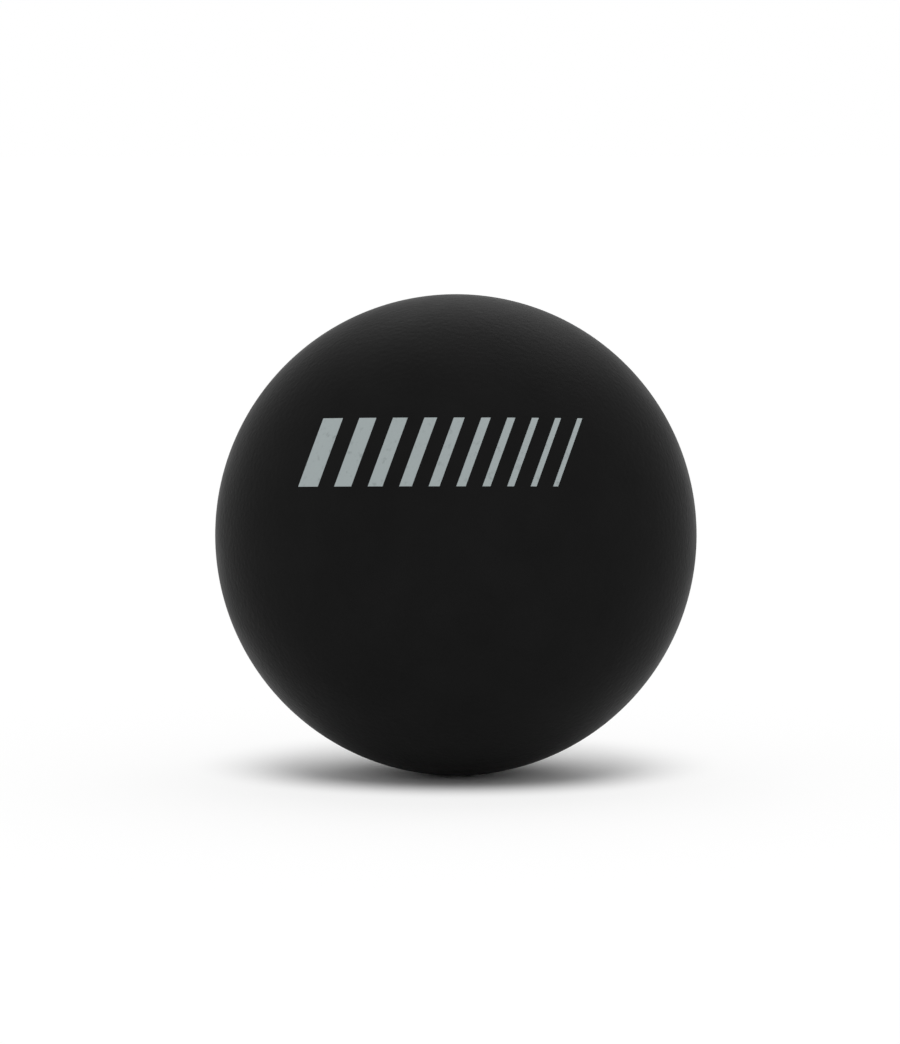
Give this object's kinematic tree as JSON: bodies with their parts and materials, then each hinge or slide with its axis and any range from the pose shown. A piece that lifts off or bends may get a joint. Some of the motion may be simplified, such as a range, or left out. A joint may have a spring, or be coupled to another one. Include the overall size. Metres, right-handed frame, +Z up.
{
  "type": "hockey ball",
  "caption": "Smooth round hockey ball with a twine-bound cork core inside a thick moulded rubber cover of interlocking half shells, for striking with a stick.",
  "frame": {"origin": "centre of the ball", "axes": "+Z up, -Y towards the printed front, +Y along the axis that both half shells are turned round"},
  "size_m": [0.0732, 0.0732, 0.0732],
  "materials": {
    "black_rubber": "matte, smooth moulded",
    "cotton_twine": "twisted, matte",
    "moulded_cork": "pressed granules, matte",
    "print_ink": "thin printed film, matte"
  },
  "bodies": {
    "root": {"cork_core": "moulded_cork", "twine_winding": "cotton_twine", "front_cover": "black_rubber", "rear_cover": "black_rubber"}
  },
  "joints": []
}
